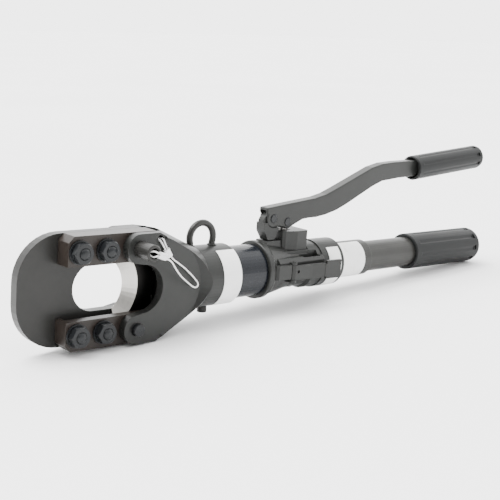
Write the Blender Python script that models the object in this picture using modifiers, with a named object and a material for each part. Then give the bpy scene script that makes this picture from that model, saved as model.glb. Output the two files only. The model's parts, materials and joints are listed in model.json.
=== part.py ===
"""Hand-operated hydraulic rescue cutter, one object for each piece, with the moving pieces on their joints.

Lengths are in millimetres and MM turns them into metres when a mesh is made. X runs from the yoke's
tip to the grips, Z is up, and the ram's axis is the line y = 0, z = 0.
"""

import math

import bmesh
import bpy
from mathutils import Matrix, Vector

MM = 0.001
GAP = 0.3

# Cutting head
HEAD_HALF_HEIGHT = 50.5
YOKE_FRONT_FLAT = 9.5
YOKE_CORNER_R = 41.0
YOKE_LENGTH = 124.0
YOKE_FACE_Y = 4.15
YOKE_BACK_Y = 14.0
MOUTH_X = 75.5
MOUTH_R = 22.0
BAR_START_X = 37.5
BAR_END_X = 127.0
BAR_INNER_Z = 24.0
BAR_FRONT_Y = -13.5
BAR_BACK_Y = 3.85
BAR_CHAMFER = 5.5
GROOVE_START_X = 41.5
GROOVE_Y = -4.6
GROOVE_Z = 29.0
BOLT_X = (48.4, 75.2)
BOLT_Z = 36.5
BOLT_R = 5.0
NUT_FLATS = 17.0
NUT_HEIGHT = 6.4
WASHER_R = 10.75
WASHER_THICK = 1.6

# Fork
EAR_FRONT_Y = -22.0
EAR_BACK_Y = 22.0
SLOT_FRONT_Y = -13.8
SLOT_BACK_Y = 14.3
SLOT_END_X = 135.5
SLOT_CORNER_R = 9.0
PIN_X = 105.5
PIN_Z = 36.5
EAR_R = 13.7
FORK_MOUTH_X = 109.5
FORK_MOUTH_R = 22.3
FORK_BIG_R = 54.7
FORK_CONE_START_X = 126.0
FORK_CONE_END_X = 180.0
FORK_FLAT_X = 132.0
FORK_FLAT_R = 43.0
FORK_FLARE = 1.2
HEAD_R = 29.65
HEAD_END_X = 221.0
HINGE_PIN_R = 5.6
LOCK_PIN_R = 6.0
LOCK_HEAD_R = 7.5
LOCK_HEAD_Y = -42.0
LOCK_SOCKET_R = 4.75
CORD_HOLE = (126.0, 44.8)
CORD_HOLE_R = 3.2
EYE_X = 191.0
EYE_TOP_Z = 55.0
EYE_ROD_R = 3.25
EYE_R = 14.25
EYE_TUCK = 20
EYE_FOOT = EYE_R * math.cos(math.radians(EYE_TUCK))
STOP_SCREW_X = 197.0

# Ram and cylinder
BORE_R = 20.0
CHAMBER_X = 160.0
CHAMBER_R = 18.2
BORE_START_X = 180.3
BORE_END_X = 252.5
SLEEVE_R = 24.0
BARREL_R = 26.0
BARREL_END_X = 258.2
ROD_R = 13.0
ROD_START_X = 132.3
PISTON_X = 232.5
PISTON_END_X = 250.0
BLADE_FRONT_Y = -4.3
BLADE_BACK_Y = 3.85
BLADE_TIP_X = 94.6
BLADE_TIP_Z = 21.5
BLADE_HALF_HEIGHT = 28.5
BLADE_REAR_X = 132.0
BLADE_EDGE_R = 28.1
BLADE_EDGE_X = 76.5
BLADE_BEVEL = 11.6
TANG_END_X = 150.0
TANG_HALF = 11.0
BLADE_PIN_X = 141.0

# Pump body, lever and reservoir
BODY_START_X = 258.5
FLANGE_R = 29.5
FLANGE_END_X = 264.5
BODY_END_X = 338.0
PLUNGER_X = 299.2
PLUNGER_R = 3.9
TOWER_TOP_Z = 38.5
TOWER_X = (290.6, 310.6)
GLAND_R = 6.5
LINK_X = 279.4
LINK_PIVOT_Z = 35.0
HANDLE_PIVOT_Z = 51.8
PLUNGER_PIN_Z = 47.4
LINK_PIN_R = 3.0
LINK_HALF = 3.9
HANDLE_PIN_R = 4.0
EYE_SLACK_X = 0.9
EYE_SLACK_Z = 0.45
HANDLE_HALF = 6.0
HANDLE_WALL = 1.8
HANDLE_WEB = 2.5
HANDLE_ROUNDING = 1.2
HANDLE_END_X = 505.5
LEVER_X = 289.0
LEVER_Y = -29.5
SPINDLE_X = 310.0
SPINDLE_R = 2.5
RESERVOIR_R = 25.5
RESERVOIR_END_X = 370.7
COLLAR_R = 19.65
COLLAR_END_X = 421.7
TUBE_R = 17.0
TUBE_WALL = 2.5

# Grips
GRIP_R = 21.0
GRIP_START_X = 500.0
GRIP_END_X = 627.0
TUBE_END_X = 616.0
PUMP_GRIP_R = 14.0
PUMP_MOUTH_R = 11.7
NECK_R = 9.25
PUMP_GRIP_SLOPE = math.radians(5.6)
PUMP_GRIP_START = (498.0, 98.5)
PUMP_GRIP_LENGTH = 124.5
NECK_LENGTH = 113.0

# Lanyard
WIRE_R = 0.75
STRAND_SPACING = 1.05
CRIMP_HALF_WIDTH = 3.1
CRIMP_HALF_HEIGHT = 2.1
LANYARD_ROUTE = (
    (115.9, -44.7, 34.3),
    (108.6, -44.4, 36.8),
    (106.9, -43.6, 38.0),
    (105.0, -41.6, 38.7),
    (103.6, -39.4, 38.3),
    (102.7, -38.0, 37.1),
    (102.7, -37.9, 35.6),
    (103.6, -39.2, 34.2),
    (104.8, -41.2, 33.6),
    (105.9, -43.2, 34.2),
    (107.4, -44.3, 34.8),
    (109.1, -44.5, 34.5),
    (116.0, -44.8, 32.0),
    (120.8, -43.5, 30.0),
    (125.2, -41.5, 27.4),
    (130.0, -39.0, 22.8),
    (136.1, -36.2, 16.7),
    (143.2, -33.5, 10.7),
    (150.7, -31.0, 5.5),
    (157.2, -29.0, 1.2),
    (161.6, -27.5, -1.5),
    (165.0, -26.6, -3.0),
    (167.9, -26.2, -2.7),
    (169.3, -25.9, -0.9),
    (168.5, -25.6, 1.7),
    (165.4, -25.2, 5.2),
    (161.5, -25.0, 9.0),
    (153.8, -24.7, 15.7),
    (144.8, -24.6, 21.9),
    (139.4, -24.6, 25.3),
    (136.7, -24.6, 28.3),
    (131.8, -24.6, 36.1),
    (128.9, -24.7, 41.4),
    (128.1, -24.1, 43.9),
    (128.0, -21.5, 44.8),
    (128.0, -18.4, 44.8),
    (127.6, -17.0, 44.8),
    (126.7, -16.1, 44.8),
    (125.3, -16.1, 44.8),
    (124.4, -17.0, 44.8),
    (124.0, -18.4, 44.8),
    (124.0, -21.5, 44.6),
    (124.3, -24.1, 43.4),
    (126.0, -24.8, 41.0),
    (130.1, -24.6, 35.0),
    (134.6, -24.6, 27.8),
)

# The frame's origin is under the middle of the whole cutter, on the guide bars' underside.
FRAME_SHIFT = (-GRIP_END_X / 2, 8.6, HEAD_HALF_HEIGHT)

MATERIALS = {
    "dark_casting": ((0.095, 0.095, 0.09, 1), 0.45, 0.5),
    "black_oxide": ((0.055, 0.052, 0.05, 1), 0.7, 0.45),
    "guide_steel": ((0.09, 0.075, 0.065, 1), 0.7, 0.45),
    "fastener_steel": ((0.05, 0.052, 0.055, 1), 0.8, 0.4),
    "bright_steel": ((0.6, 0.59, 0.57, 1), 1.0, 0.3),
    "blade_steel": ((0.72, 0.7, 0.66, 1), 1.0, 0.25),
    "navy_paint": ((0.05, 0.06, 0.075, 1), 0.3, 0.3),
    "tube_paint": ((0.14, 0.14, 0.13, 1), 0.5, 0.4),
    "grip_rubber": ((0.07, 0.075, 0.075, 1), 0.0, 0.75),
    "seal_rubber": ((0.02, 0.02, 0.02, 1), 0.0, 0.7),
    "label_film": ((0.85, 0.85, 0.84, 1), 0.0, 0.5),
    "wire_rope": ((0.8, 0.8, 0.8, 1), 0.6, 0.35),
    "gland_bronze": ((0.45, 0.3, 0.13, 1), 0.9, 0.35),
}


# Meshes. Every helper returns an object whose mesh is in millimetres, at its own place in the cutter.


def mesh_object(name, mesh):
    thing = bpy.data.objects.new(name, mesh)
    bpy.context.scene.collection.objects.link(thing)
    return thing


def bake(thing):
    """Replaces the object's mesh with what its modifiers make of it."""
    bpy.context.view_layer.update()
    graph = bpy.context.evaluated_depsgraph_get()
    result = bpy.data.meshes.new_from_object(thing.evaluated_get(graph))
    old = thing.data
    thing.modifiers.clear()
    thing.data = result
    if isinstance(old, bpy.types.Mesh):
        bpy.data.meshes.remove(old)
    return thing


def weld(thing, distance=0.0001):
    """Joins doubled points and turns every face outwards."""
    shape = bmesh.new()
    shape.from_mesh(thing.data)
    bmesh.ops.remove_doubles(shape, verts=shape.verts, dist=distance)
    bmesh.ops.recalc_face_normals(shape, faces=shape.faces)
    shape.to_mesh(thing.data)
    shape.free()
    return thing


def aim(axis):
    """The turn that takes local +Z to that axis, and local +X to the next one that stays level."""
    turns = {
        "X": Matrix.Rotation(math.radians(90), 4, "Y"),
        "Y": Matrix.Rotation(math.radians(-90), 4, "X"),
        "Z": Matrix.Identity(4),
    }
    return turns[axis]


def turned(name, profile, axis="X", at=(0, 0, 0), steps=32):
    """Turns a profile of (radius, distance along the axis) round the axis."""
    shape = bmesh.new()
    points = [shape.verts.new((radius, 0, along)) for radius, along in profile]
    for first, second in zip(points, points[1:]):
        shape.edges.new((first, second))
    if profile[0][0] > 0:
        shape.edges.new((points[-1], points[0]))
    mesh = bpy.data.meshes.new(name)
    shape.to_mesh(mesh)
    shape.free()
    thing = mesh_object(name, mesh)
    screw = thing.modifiers.new("Turn", "SCREW")
    screw.axis = "Z"
    screw.steps = steps
    screw.render_steps = steps
    screw.use_merge_vertices = True
    screw.merge_threshold = 0.0001
    bake(thing)
    thing.data.transform(Matrix.Translation(Vector(at)) @ aim(axis))
    return weld(thing)


def rod(name, radius, low, high, axis="X", at=(0, 0, 0), steps=20, chamfer=0.0):
    """A solid round bar from low to high along the axis, with chamfered ends."""
    profile = [(0, low), (radius - chamfer, low), (radius, low + chamfer)]
    profile += [(radius, high - chamfer), (radius - chamfer, high), (0, high)]
    if chamfer == 0:
        profile = [(0, low), (radius, low), (radius, high), (0, high)]
    return turned(name, profile, axis, at, steps)


def sleeve(name, inner, outer, low, high, axis="X", at=(0, 0, 0), steps=32, chamfer=0.0):
    """A round tube from low to high along the axis, with its outer edges chamfered."""
    profile = [(inner, low), (outer - chamfer, low)]
    if chamfer:
        profile += [(outer, low + chamfer), (outer, high - chamfer)]
    else:
        profile += [(outer, low)]
    profile += [(outer - chamfer, high), (inner, high)]
    return turned(name, profile, axis, at, steps)


def arc(x, z, radius, start, end, segments):
    """Points on a circle from one angle to another, in degrees."""
    angles = [math.radians(start + (end - start) * i / segments) for i in range(segments + 1)]
    return [(x + radius * math.cos(a), z + radius * math.sin(a)) for a in angles]


def extruded(name, outline, low, high, plane="XZ"):
    """A flat outline given thickness across its plane, from low to high."""
    places = {
        "XZ": lambda a, b, across: (a, across, b),
        "XY": lambda a, b, across: (a, b, across),
        "YZ": lambda a, b, across: (across, a, b),
    }
    place = places[plane]
    shape = bmesh.new()
    face = shape.faces.new([shape.verts.new(place(a, b, low)) for a, b in outline])
    grown = bmesh.ops.extrude_face_region(shape, geom=[face])
    top = [g for g in grown["geom"] if isinstance(g, bmesh.types.BMVert)]
    shift = Vector(place(0, 0, high - low))
    bmesh.ops.translate(shape, verts=top, vec=shift)
    bmesh.ops.recalc_face_normals(shape, faces=shape.faces)
    mesh = bpy.data.meshes.new(name)
    shape.to_mesh(mesh)
    shape.free()
    return mesh_object(name, mesh)


def block(name, x, y, z):
    """A box between two x, two y and two z values."""
    outline = [(x[0], z[0]), (x[1], z[0]), (x[1], z[1]), (x[0], z[1])]
    return extruded(name, outline, y[0], y[1])


def hexagon(x, z, flats):
    return arc(x, z, flats / math.sqrt(3), 0, 300, 5)


def combine(thing, others, operation):
    """Joins, cuts or intersects a solid with others, and removes those."""
    for other in others:
        step = thing.modifiers.new("Combine", "BOOLEAN")
        step.object = other
        step.operation = operation
        step.solver = "EXACT"
        bake(thing)
        bpy.data.objects.remove(other)
    return weld(thing)


def cut(thing, *others):
    return combine(thing, others, "DIFFERENCE")


def join(thing, *others):
    return combine(thing, others, "UNION")


def wire(name, points, radius, smooth=1):
    """A round wire along the points, with closed ends."""
    curve = bpy.data.curves.new(name, "CURVE")
    curve.dimensions = "3D"
    curve.bevel_depth = radius
    curve.bevel_resolution = smooth
    curve.use_fill_caps = True
    line = curve.splines.new("POLY")
    line.points.add(len(points) - 1)
    for spot, place in zip(line.points, points):
        spot.co = (*place, 1)
    guide = bpy.data.objects.new(name + "_line", curve)
    bpy.context.scene.collection.objects.link(guide)
    bpy.context.view_layer.update()
    graph = bpy.context.evaluated_depsgraph_get()
    mesh = bpy.data.meshes.new_from_object(guide.evaluated_get(graph))
    bpy.data.objects.remove(guide)
    return weld(mesh_object(name, mesh))


def rounded_route(points, rounds):
    """Corner-cuts a line of points that many times, with the ends kept."""
    line = [Vector(p) for p in points]
    for _ in range(rounds):
        smoother = [line[0]]
        for first, second in zip(line, line[1:]):
            smoother += [first.lerp(second, 0.25), first.lerp(second, 0.75)]
        line = smoother + [line[-1]]
    return line


def helix(radius, start, end, turns, per_turn, axis, at):
    """Points of a coil spring between two places on an axis."""
    count = turns * per_turn
    points = []
    for i in range(count + 1):
        angle = 2 * math.pi * i / per_turn
        along = start + (end - start) * i / count
        place = {
            "X": (along, radius * math.cos(angle), radius * math.sin(angle)),
            "Y": (radius * math.cos(angle), along, radius * math.sin(angle)),
        }[axis]
        points.append(Vector(place) + Vector(at))
    return points


def chamfer_edges(thing, width, angle=40, segments=1):
    """Breaks the sharp edges of a solid."""
    step = thing.modifiers.new("Edge", "BEVEL")
    step.width = width
    step.segments = segments
    step.limit_method = "ANGLE"
    step.angle_limit = math.radians(angle)
    step.use_clamp_overlap = True
    return weld(bake(thing))


# Cutting head


def build_yoke_plate():
    tip = arc(YOKE_CORNER_R, YOKE_FRONT_FLAT, YOKE_CORNER_R, 90, 180, 10)
    mouth = arc(MOUTH_X, 0, MOUTH_R, 90, 270, 18)
    outline = [(YOKE_LENGTH, HEAD_HALF_HEIGHT)] + tip + [(x, -z) for x, z in tip[::-1]]
    outline += [(YOKE_LENGTH, -HEAD_HALF_HEIGHT), (YOKE_LENGTH, -MOUTH_R)]
    outline += mouth[::-1] + [(YOKE_LENGTH, MOUTH_R)]
    plate = extruded("yoke_plate", outline, YOKE_FACE_Y, YOKE_BACK_Y)
    holes = []
    for side in (1, -1):
        for x in BOLT_X:
            holes.append(rod("hole", BOLT_R + GAP, 0, 20, "Y", (x, 0, side * BOLT_Z), 16))
    holes.append(rod("hole", LOCK_PIN_R + GAP, 0, 20, "Y", (PIN_X, 0, PIN_Z), 24))
    holes.append(rod("hole", HINGE_PIN_R + GAP, 0, 20, "Y", (PIN_X, 0, -PIN_Z), 24))
    return cut(plate, *holes)


def build_guide_bar(name, side, pin_r):
    """A bar that the blade's edge slides along. Side is 1 above the mouth and -1 below it."""
    outline = [
        (BAR_START_X, side * BAR_INNER_Z),
        (BAR_START_X, side * (HEAD_HALF_HEIGHT - BAR_CHAMFER)),
        (BAR_START_X + BAR_CHAMFER, side * HEAD_HALF_HEIGHT),
        (BAR_END_X, side * HEAD_HALF_HEIGHT),
        (BAR_END_X, side * BAR_INNER_Z),
    ]
    bar = extruded(name, outline, BAR_FRONT_Y, BAR_BACK_Y)
    groove_z = sorted((side * (BAR_INNER_Z - 5), side * GROOVE_Z))
    cutters = [block("groove", (GROOVE_START_X, BAR_END_X + 5), (GROOVE_Y, BAR_BACK_Y + 5), groove_z)]
    for x in BOLT_X:
        cutters.append(rod("hole", BOLT_R + GAP, -20, 20, "Y", (x, 0, side * BOLT_Z), 16))
    cutters.append(rod("hole", pin_r + GAP, -20, 20, "Y", (PIN_X, 0, side * PIN_Z), 24))
    return cut(bar, *cutters)


def build_fasteners():
    """Four bolts through the yoke plate and the guide bars, each with a washer and a nut in front."""
    head_y = YOKE_BACK_Y + GAP
    washer_y = BAR_FRONT_Y - GAP - WASHER_THICK
    nut_y = washer_y - GAP - NUT_HEIGHT
    pieces = []
    for i, (x, side) in enumerate([(x, side) for side in (1, -1) for x in BOLT_X], start=1):
        z = side * BOLT_Z
        head = extruded(f"guide_bolt_{i}", hexagon(x, z, NUT_FLATS), head_y, head_y + NUT_HEIGHT)
        at = (x, 0, z)
        dome = [(0, nut_y - 2.3), (2.0, nut_y - 2.15), (3.6, nut_y - 1.7)]
        dome += [(4.6, nut_y - 0.9), (BOLT_R, nut_y)]
        shank = turned("shank", dome + [(BOLT_R, head_y + 1), (0, head_y + 1)], "Y", at, 20)
        pieces.append(join(head, shank))
        washer_end = washer_y + WASHER_THICK
        pieces.append(sleeve(f"guide_washer_{i}", BOLT_R + GAP, WASHER_R, washer_y, washer_end, "Y", at, 24))
        nut = extruded(f"guide_nut_{i}", hexagon(x, z, NUT_FLATS), nut_y - 1, nut_y + NUT_HEIGHT + 1)
        crown = rod("crown", NUT_FLATS / 2 + 1.4, nut_y, nut_y + NUT_HEIGHT, "Y", at, 24, 1.3)
        combine(nut, [crown], "INTERSECT")
        pieces.append(cut(nut, rod("bore", BOLT_R + GAP, nut_y - 5, nut_y + 15, "Y", at, 16)))
    return pieces


def build_fork_head():
    """The fork that holds the yoke's arms, in one with the head of the cylinder."""
    profile = [
        (ROD_R + GAP, 80),
        (FORK_BIG_R, 80),
        (FORK_BIG_R, FORK_CONE_START_X),
        (HEAD_R, FORK_CONE_END_X),
        (HEAD_R, HEAD_END_X - 1),
        (HEAD_R - 1, HEAD_END_X),
        (SLEEVE_R + GAP, HEAD_END_X),
        (SLEEVE_R + GAP, BORE_START_X - GAP),
        (CHAMBER_R, BORE_START_X - GAP),
        (CHAMBER_R, CHAMBER_X),
        (17.0, CHAMBER_X),
        (17.0, 150.0),
        (ROD_R + GAP, 150.0),
    ]
    body = turned("fork_head", profile, "X", (0, 0, 0), 56)
    inner_z = math.sqrt(EAR_R**2 - 6.1**2)
    top = PIN_Z + EAR_R
    hub_end = 180 + math.degrees(math.atan2(inner_z, 6.1))
    hub = arc(PIN_X, PIN_Z, EAR_R, 90, hub_end, 14)
    mouth = arc(FORK_MOUTH_X, 0, FORK_MOUTH_R, 90, -90, 22)
    outline = [(240, top)] + hub + mouth
    outline += [(x, -z) for x, z in hub[::-1]] + [(240, -top)]
    side_shape = extruded("side", outline, -70, 70)
    body = combine(body, [side_shape], "INTERSECT")
    cutters = []
    for face, far in ((EAR_FRONT_Y, -70), (EAR_BACK_Y, 70)):
        flare = FORK_FLAT_R + FORK_FLARE * abs(far - face)
        round_flat = [(0, face), (FORK_FLAT_R, face), (flare, far), (0, far)]
        cutters.append(turned("round_flat", round_flat, "Y", (FORK_FLAT_X, 0, 0), 56))
        cutters.append(block("flat", (70, FORK_FLAT_X), sorted((face, far)), (-70, 70)))
    corner_x = SLOT_END_X - SLOT_CORNER_R
    slot = [(70, SLOT_BACK_Y), (70, SLOT_FRONT_Y)]
    slot += arc(corner_x, SLOT_FRONT_Y + SLOT_CORNER_R, SLOT_CORNER_R, -90, 0, 6)
    slot += arc(corner_x, SLOT_BACK_Y - SLOT_CORNER_R, SLOT_CORNER_R, 0, 90, 6)
    cutters.append(extruded("slot", slot, -70, 70, "XY"))
    cutters.append(rod("pin_hole", LOCK_PIN_R + GAP, -40, 40, "Y", (PIN_X, 0, PIN_Z), 24))
    cutters.append(rod("pin_hole", HINGE_PIN_R + GAP, -40, 40, "Y", (PIN_X, 0, -PIN_Z), 24))
    cutters.append(rod("cord_hole", CORD_HOLE_R, -40, 0, "Y", (CORD_HOLE[0], 0, CORD_HOLE[1]), 20))
    for x in (EYE_X - EYE_FOOT, EYE_X + EYE_FOOT):
        cutters.append(rod("eye_hole", EYE_ROD_R + GAP, 25.6, 60, "Z", (x, 0, 0), 20))
    cutters.append(rod("screw_hole", 3.0 + GAP, -60, -25.2, "Z", (STOP_SCREW_X, 0, 0), 20))
    return cut(body, *cutters)


def build_lifting_eye():
    centre_z = EYE_TOP_Z - EYE_ROD_R - EYE_R
    bow = arc(EYE_X, centre_z, EYE_R, 180 + EYE_TUCK, -EYE_TUCK, 24)
    foot_z = 26.2
    route = [(EYE_X - EYE_FOOT, 0, foot_z)] + [(x, 0, z) for x, z in bow] + [(EYE_X + EYE_FOOT, 0, foot_z)]
    return wire("lifting_eye", route, EYE_ROD_R, 3)


def build_stop_screw():
    profile = [(0, -36.3), (4.25, -36.3), (4.75, -35.8), (4.75, -30.2), (3.0, -30.2), (3.0, -25.8), (0, -25.8)]
    return turned("stop_screw", profile, "Z", (STOP_SCREW_X, 0, 0), 20)


def build_hinge_pin():
    profile = [(0, -26.5), (5.1, -26.5), (HINGE_PIN_R, -26), (HINGE_PIN_R, 22.5)]
    profile += [(4.7, 22.5), (4.7, 24.5), (HINGE_PIN_R, 24.5), (5.1, 25.5), (0, 25.5)]
    pin = turned("hinge_pin", profile, "Y", (PIN_X, 0, -PIN_Z), 24)
    ring = sleeve("hinge_pin_ring", 5.0, 8.5, 22.8, 24.2, "Y", (PIN_X, 0, -PIN_Z), 24)
    gap = block("ring_gap", (PIN_X - 1.5, PIN_X + 1.5), (20, 30), (-PIN_Z - 12, -PIN_Z - 3))
    return [pin, cut(ring, gap)]


def build_lock_pin():
    socket_end = LOCK_HEAD_Y + 8
    profile = [
        (0, socket_end),
        (LOCK_SOCKET_R, socket_end),
        (LOCK_SOCKET_R, LOCK_HEAD_Y),
        (LOCK_HEAD_R - 0.8, LOCK_HEAD_Y),
        (LOCK_HEAD_R, LOCK_HEAD_Y + 0.8),
        (LOCK_HEAD_R, EAR_FRONT_Y - GAP),
        (LOCK_PIN_R, EAR_FRONT_Y - GAP),
        (LOCK_PIN_R, 22.0),
        (LOCK_PIN_R - 2, 24.0),
        (0, 24.0),
    ]
    return turned("lock_pin", profile, "Y", (PIN_X, 0, PIN_Z), 24)


def build_crimp(name, centre, direction):
    """An oval sleeve that holds two strands of the wire side by side."""
    def oval(half_width, half_height):
        flat = half_width - half_height
        return arc(flat, 0, half_height, -90, 90, 6) + arc(-flat, 0, half_height, 90, 270, 6)

    body = extruded(name, oval(CRIMP_HALF_WIDTH, CRIMP_HALF_HEIGHT), -4.0, 4.0, "XY")
    bore = oval(STRAND_SPACING + WIRE_R + GAP + 0.1, WIRE_R + GAP + 0.1)
    cut(body, extruded("bore", bore, -10, 10, "XY"))
    along = Vector(direction).normalized()
    across = Vector((0, 1, 0)).cross(along).normalized()
    depth = along.cross(across)
    frame = Matrix((across, depth, along)).transposed().to_4x4()
    body.data.transform(Matrix.Translation(Vector(centre)) @ frame)
    return body


# Blade and ram


def build_blade():
    reach = math.degrees(math.asin(BLADE_TIP_Z / BLADE_EDGE_R))
    edge = arc(BLADE_EDGE_X, 0, BLADE_EDGE_R, reach, -reach, 18)
    tip = edge[0][0]
    half = [(tip, BLADE_HALF_HEIGHT), (BLADE_REAR_X, BLADE_HALF_HEIGHT)]
    half += [(BLADE_REAR_X, TANG_HALF), (TANG_END_X, TANG_HALF)]
    outline = half[::-1] + edge + [(x, -z) for x, z in half]
    blade = extruded("blade", outline, BLADE_FRONT_Y, BLADE_BACK_Y)
    land = BLADE_BACK_Y - 0.3
    depth = land - BLADE_FRONT_Y
    over = 1.0 + 3.0 / depth
    bevel = [
        (0, land),
        (BLADE_EDGE_R, land),
        (BLADE_EDGE_R + BLADE_BEVEL * over, BLADE_FRONT_Y - 3.0),
        (0, BLADE_FRONT_Y - 3.0),
    ]
    grind = turned("grind", bevel, "Y", (BLADE_EDGE_X, 0, 0), 56)
    hole = rod("hole", 3.0 + GAP, -10, 10, "Y", (BLADE_PIN_X, 0, 0), 20)
    return cut(blade, grind, hole)


def build_ram():
    groove = (PISTON_X + 5.5, PISTON_X + 11.5)
    profile = [
        (0, ROD_START_X),
        (ROD_R - 1, ROD_START_X),
        (ROD_R, ROD_START_X + 1),
        (ROD_R, PISTON_X),
        (BORE_R - GAP, PISTON_X),
        (BORE_R - GAP, groove[0]),
        (17.0, groove[0]),
        (17.0, groove[1]),
        (BORE_R - GAP, groove[1]),
        (BORE_R - GAP, PISTON_END_X),
        (0, PISTON_END_X),
    ]
    ram = turned("ram", profile)
    slot = block("slot", (120, TANG_END_X + GAP), (BLADE_FRONT_Y - GAP, BLADE_BACK_Y + GAP), (-20, 20))
    hole = rod("hole", 3.0 + GAP, -20, 20, "Y", (BLADE_PIN_X, 0, 0), 20)
    cut(ram, slot, hole)
    seal = sleeve("piston_seal", 17.3, BORE_R - 0.2, groove[0] + GAP, groove[1] - GAP)
    blade_pin = rod("blade_pin", 3.0, -11.8, 11.8, "Y", (BLADE_PIN_X, 0, 0), 20, 0.4)
    return [ram, seal, blade_pin]


def build_return_spring():
    start = CHAMBER_X + 1.8
    coil = helix(16.5, start, PISTON_X - 1.8, 6, 12, "X", (0, 0, 0))
    return wire("ram_return_spring", coil, 1.2)


def build_cylinder():
    profile = [
        (BORE_R, BORE_START_X),
        (SLEEVE_R, BORE_START_X),
        (SLEEVE_R, HEAD_END_X + GAP),
        (BARREL_R, HEAD_END_X + GAP),
        (BARREL_R, BARREL_END_X),
        (2.0, BARREL_END_X),
        (2.0, BORE_END_X),
        (BORE_R, BORE_END_X),
    ]
    barrel = turned("cylinder_barrel", profile, steps=48)
    gland = sleeve("rod_gland", ROD_R + GAP, 16.7, 150.3, CHAMBER_X - GAP)
    return [barrel, gland]


# Pump body and reservoir


def build_pump_body():
    core = [
        (0, BODY_START_X),
        (FLANGE_R - 0.8, BODY_START_X),
        (FLANGE_R, BODY_START_X + 0.8),
        (FLANGE_R, FLANGE_END_X),
        (27.5, 268.0),
        (25.2, 282.0),
        (22.6, 296.0),
        (22.2, 304.0),
        (22.2, 320.0),
        (24.6, 323.0),
        (24.6, BODY_END_X),
        (22.6, BODY_END_X),
        (22.6, 348.0),
        (0, 348.0),
    ]
    body = turned("pump_body", core, steps=48)
    ledge = [(-27.5, -4.5), (-27.5, 10.0), (-24.0, 14.0), (24.0, 14.0), (27.5, 10.0), (27.5, -4.5)]
    shelf = extruded("shelf", ledge, 272.0, 336.0, "YZ")
    boss_outline = [(285.4, -18.0), (266.5, -18.0), (266.5, -28.5), (268.5, -31.0), (285.4, -31.6)]
    boss = extruded("boss", boss_outline, -6.0, 8.5, "XY")
    lever_lug = [(284.0, -18.0)] + arc(LEVER_X, LEVER_Y, 3.6, 180, 360, 8) + [(294.0, -18.0)]
    lever_lugs = [extruded("lever_lug", lever_lug, *z, "XY") for z in ((-9.8, -7.3), (8.3, 10.8))]
    corner = 2.5
    left, right = TOWER_X
    tower = [(left + corner, -11.0), (right - corner, -11.0), (right, -11.0 + corner)]
    tower += [(right, 11.0 - corner), (right - corner, 11.0), (left + corner, 11.0)]
    tower += [(left, 11.0 - corner), (left, -11.0 + corner)]
    column = extruded("tower", tower, 0.0, TOWER_TOP_Z, "XY")
    shoulder = extruded("shoulder", [(266.5, 18.0), (291.0, 18.0), (289.0, 29.4), (270.0, 29.4)], -8.0, 8.0)
    tongue = [(274.4, 20.0), (287.0, 20.0), (LINK_X + 4.6, LINK_PIVOT_Z)]
    tongue += arc(LINK_X, LINK_PIVOT_Z, 4.6, 0, 180, 10)
    lug = extruded("lug", tongue, -2.8, 2.8)
    fillet = [(286.0, -16.0), (334.0, -16.0), (334.0, 16.0), (286.0, 16.0)]
    saddle = extruded("saddle", fillet, 0.0, 19.0, "XY")
    join(body, shelf, boss, column, saddle, shoulder, lug, *lever_lugs)
    cutters = [
        rod("link_hole", LINK_PIN_R + GAP, -20, 20, "Y", (LINK_X, 0, LINK_PIVOT_Z), 20),
        rod("plunger_bore", PLUNGER_R + GAP, -8.0, 31.0, "Z", (PLUNGER_X, 0, 0), 24),
        rod("gland_bore", GLAND_R + GAP, 30.0, 60.0, "Z", (PLUNGER_X, 0, 0), 32),
        rod("outlet_port", 3.8, 250.0, 286.0, "X", (0, 0, -3.0), 20),
        rod("outlet_way", 1.5, 284.0, PLUNGER_X - 2.0, "X", (0, 0, -3.0), 12),
        rod("inlet_port", 3.8, 312.0, 360.0, "X", (0, 0, -3.0), 20),
        rod("inlet_way", 1.5, PLUNGER_X + 2.0, 314.0, "X", (0, 0, -3.0), 12),
        rod("relief_port", 4.3, -40.0, -14.0, "Z", (312.0, 0, 0), 20),
        rod("spindle_bore", SPINDLE_R + GAP, -40.0, -11.0, "Y", (SPINDLE_X, 0, 1.5), 20),
        rod("spring_bore", 5.2, -40.0, -21.0, "Y", (SPINDLE_X, 0, 1.5), 24),
        rod("lever_room", 4.4, -7.3, 8.3, "Z", (LEVER_X, LEVER_Y, 0), 20),
        rod("lever_pin_hole", 1.5 + GAP, -20.0, 20.0, "Z", (LEVER_X, LEVER_Y, 0), 16),
    ]
    for side in (-1, 1):
        y = sorted((side * 24.6, side * 16.5))
        cutters.append(block("pocket", (308.0, 332.0), y, (7.5, 30.0)))
    return cut(body, *cutters)


def build_pump_internals():
    gland = sleeve("plunger_gland", PLUNGER_R + GAP, GLAND_R, 30.3, TOWER_TOP_Z - GAP, "Z", (PLUNGER_X, 0, 0), 32)
    outlet = sleeve("outlet_check_cartridge", 1.2, 3.5, 262.0, 283.0, "X", (0, 0, -3.0), 20)
    inlet = sleeve("inlet_check_cartridge", 1.2, 3.5, 315.0, 340.0, "X", (0, 0, -3.0), 20)
    relief = rod("relief_plug", 4.0, -22.6, -15.0, "Z", (312.0, 0, 0), 20, 0.4)
    relief = cut(relief, extruded("socket", hexagon(312.0, 0, 4.0), -30, -19.5, "XY"))
    pivot = rod("link_pivot_pin", LINK_PIN_R, -4.9, 5.8, "Y", (LINK_X, 0, LINK_PIVOT_Z), 20, 0.4)
    return [gland, outlet, inlet, relief, pivot]


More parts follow.
